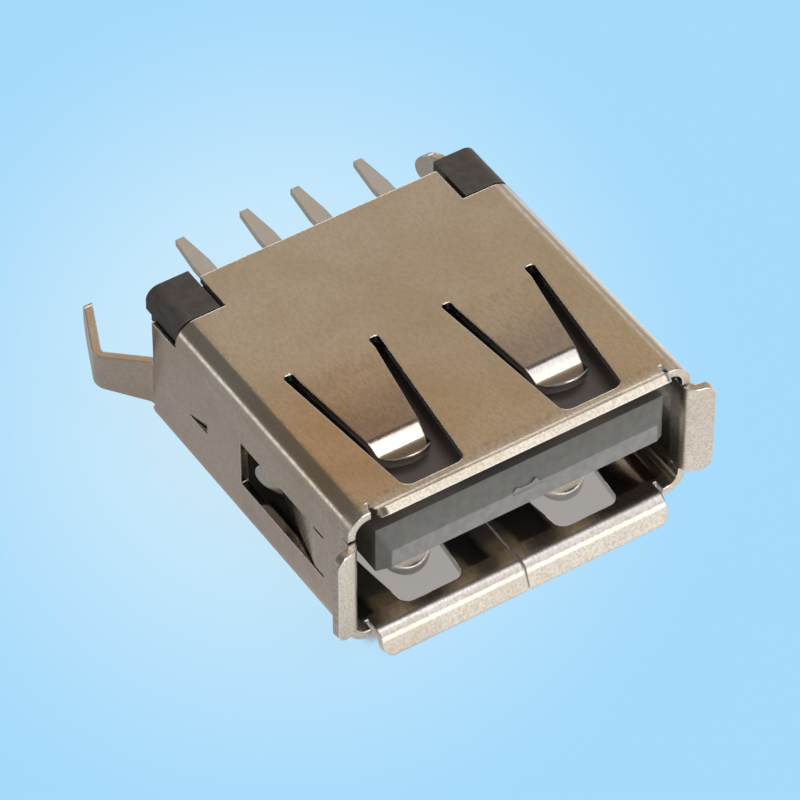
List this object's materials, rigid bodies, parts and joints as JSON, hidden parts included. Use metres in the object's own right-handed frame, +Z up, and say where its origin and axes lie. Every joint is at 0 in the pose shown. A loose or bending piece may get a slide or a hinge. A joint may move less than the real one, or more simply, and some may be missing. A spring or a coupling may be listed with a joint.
{
  "type": "usb receptacle",
  "caption": "Through-hole USB-A receptacle: folded nickel-plated shell with flared mouth, spring fingers and kinked board legs, black moulding and tin-plated blade contacts.",
  "frame": {"origin": "middle of the plug opening, in the plane of the mouth", "axes": "+Y from the mouth straight back to the solder side, +X to the right when looking into the mouth, +Z up, away from the seam of the shell, with the contacts hanging under the tongue"},
  "size_m": [0.0156, 0.0166, 0.0068],
  "materials": {
    "nickel_sheet": "satin nickel plating on cold-rolled steel sheet",
    "black_moulding": "black glass-filled moulding, slightly matt",
    "tinned_blade": "matt tin over copper alloy, gilded on the contact crest"
  },
  "bodies": {
    "root": {"shell": "nickel_sheet", "housing": "black_moulding", "contact_power": "tinned_blade", "contact_data_minus": "tinned_blade", "contact_data_plus": "tinned_blade", "contact_ground": "tinned_blade"}
  },
  "joints": []
}
